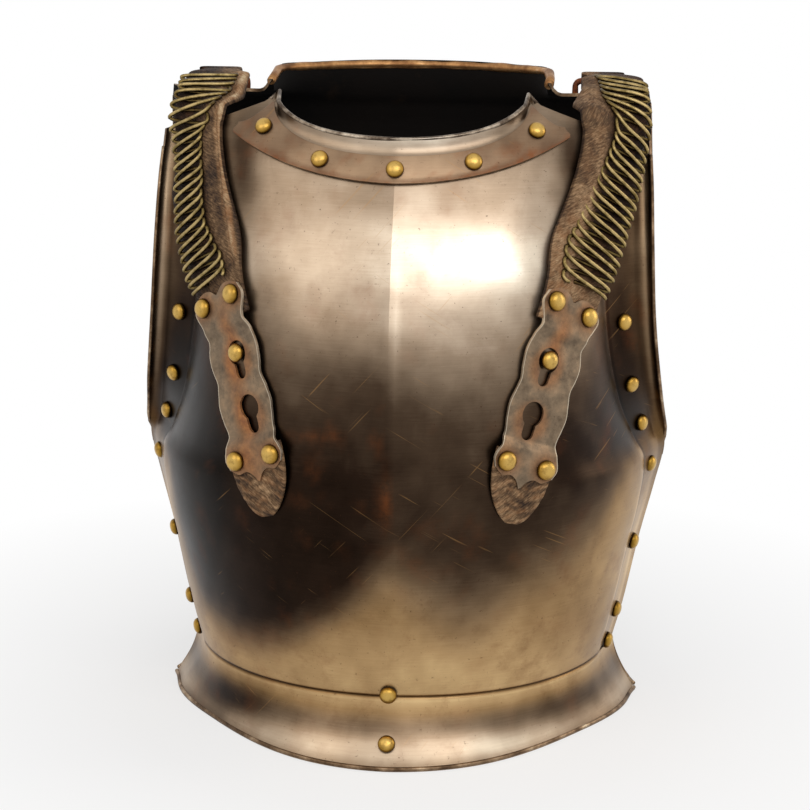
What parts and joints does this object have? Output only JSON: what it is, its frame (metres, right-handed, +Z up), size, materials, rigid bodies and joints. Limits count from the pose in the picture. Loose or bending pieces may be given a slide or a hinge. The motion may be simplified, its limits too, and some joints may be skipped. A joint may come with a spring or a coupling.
{
  "type": "cuirass",
  "caption": "Steel cavalry cuirass: ridged breastplate and back plate joined over the shoulders by chain-covered leather straps that hook on brass studs.",
  "frame": {"origin": "centre of the bounding box on the plane that both waist rims stand on", "axes": "+Z up; the breastplate faces -Y; the wearer's right side is at -X"},
  "size_m": [0.3762, 0.2998, 0.4532],
  "materials": {
    "chest_steel": "worn, patinated",
    "back_steel": "worn, patinated",
    "rivet_brass": "satin, rubbed",
    "strap_leather": "dry, cracked",
    "chain_brass": "aged",
    "plate_steel": "rusted in places"
  },
  "bodies": {
    "breastplate": {"breastplate": "chest_steel", "neck_band": "chest_steel", "neck_rivet.1": "rivet_brass", "neck_rivet.2": "rivet_brass", "neck_rivet.3": "rivet_brass", "neck_rivet.4": "rivet_brass", "neck_rivet.5": "rivet_brass", "side_rivet.1.R": "rivet_brass", "side_rivet.2.R": "rivet_brass", "side_rivet.3.R": "rivet_brass", "side_rivet.4.R": "rivet_brass", "side_rivet.5.R": "rivet_brass", "side_rivet.6.R": "rivet_brass", "side_rivet.7.R": "rivet_brass", "side_rivet.1.L": "rivet_brass", "side_rivet.2.L": "rivet_brass", "side_rivet.3.L": "rivet_brass", "side_rivet.4.L": "rivet_brass", "side_rivet.5.L": "rivet_brass", "side_rivet.6.L": "rivet_brass", "side_rivet.7.L": "rivet_brass", "waist_rivet": "rivet_brass", "flange_rivet": "rivet_brass", "strap_stud.R": "rivet_brass", "strap_stud.L": "rivet_brass"},
    "strap_r": {"strap_leather.R": "strap_leather", "strap_chain.R": "chain_brass"},
    "strap_l": {"strap_leather.L": "strap_leather", "strap_chain.L": "chain_brass"},
    "strap_end_r": {"end_plate.R": "plate_steel", "end_tab.R": "strap_leather", "end_tip.R": "strap_leather", "end_rivet.1.R": "rivet_brass", "end_rivet.2.R": "rivet_brass", "end_rivet.3.R": "rivet_brass", "end_rivet.4.R": "rivet_brass"},
    "strap_end_l": {"end_plate.L": "plate_steel", "end_tab.L": "strap_leather", "end_tip.L": "strap_leather", "end_rivet.1.L": "rivet_brass", "end_rivet.2.L": "rivet_brass", "end_rivet.3.L": "rivet_brass", "end_rivet.4.L": "rivet_brass"},
    "backplate": {"backplate": "back_steel", "strap_staple.R": "plate_steel", "strap_staple.L": "plate_steel", "back_rivet.1.R": "rivet_brass", "back_rivet.2.R": "rivet_brass", "back_rivet.3.R": "rivet_brass", "back_rivet.4.R": "rivet_brass", "back_rivet.1.L": "rivet_brass", "back_rivet.2.L": "rivet_brass", "back_rivet.3.L": "rivet_brass", "back_rivet.4.L": "rivet_brass"}
  },
  "joints": [
    {"name": "right_strap_swing", "type": "hinge", "parent": "breastplate", "child": "strap_r", "pos_m": [-0.13504, 0.03527, 0.4465], "axis": [-1, 0, 0], "range_deg": [0, 130]},
    {"name": "left_strap_swing", "type": "hinge", "parent": "breastplate", "child": "strap_l", "pos_m": [0.13504, 0.03527, 0.4465], "axis": [-1, 0, 0], "range_deg": [0, 130]},
    {"name": "right_strap_end_lift", "type": "hinge", "parent": "strap_r", "child": "strap_end_r", "pos_m": [-0.11922, -0.0907, 0.32143], "axis": [-0.6994, 0.5413, -0.4667], "range_deg": [0, 50]},
    {"name": "left_strap_end_lift", "type": "hinge", "parent": "strap_l", "child": "strap_end_l", "pos_m": [0.11922, -0.0907, 0.32143], "axis": [-0.6994, -0.5413, 0.4667], "range_deg": [0, 50]},
    {"name": "backplate_opening", "type": "hinge", "parent": "breastplate", "child": "backplate", "pos_m": [0, 0.03527, 0.4465], "axis": [1, 0, 0], "range_deg": [0, 30]}
  ]
}
